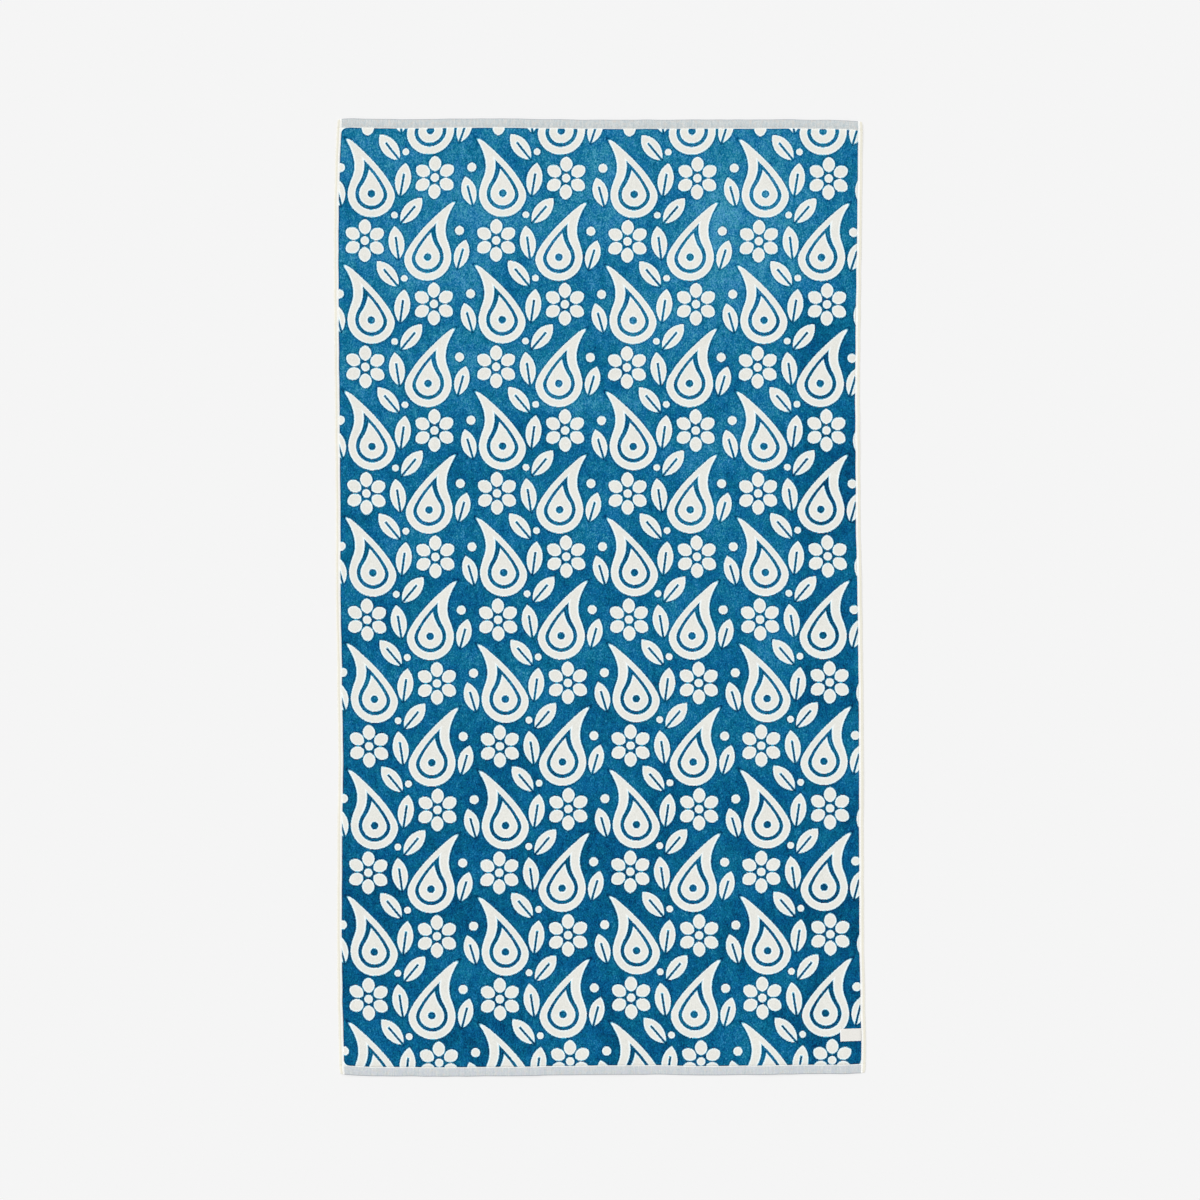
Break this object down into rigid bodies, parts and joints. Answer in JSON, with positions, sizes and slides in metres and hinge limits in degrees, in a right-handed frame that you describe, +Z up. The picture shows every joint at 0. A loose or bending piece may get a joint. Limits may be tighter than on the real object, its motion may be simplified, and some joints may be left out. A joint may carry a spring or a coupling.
{
  "type": "beach towel",
  "caption": "Large oblong woven beach towel lying flat, with cut-pile face, flat hems at both ends, narrow side hems and a small folded label sewn into one side.",
  "frame": {"origin": "on the surface that the towel lies on, under the middle of its outline", "axes": "+Z is up out of the cloth's face, +Y runs along its length to the end that is further from the label, and +X runs across it to the side hem that holds the label"},
  "size_m": [0.962, 1.731, 0.0055],
  "materials": {
    "terry_cloth": "cut cotton pile in blue and cream, with flat ribbed hems at the ends",
    "label_tape": "smooth woven tape, blank"
  },
  "bodies": {
    "root": {"towel": "terry_cloth", "label": "label_tape"}
  },
  "joints": []
}
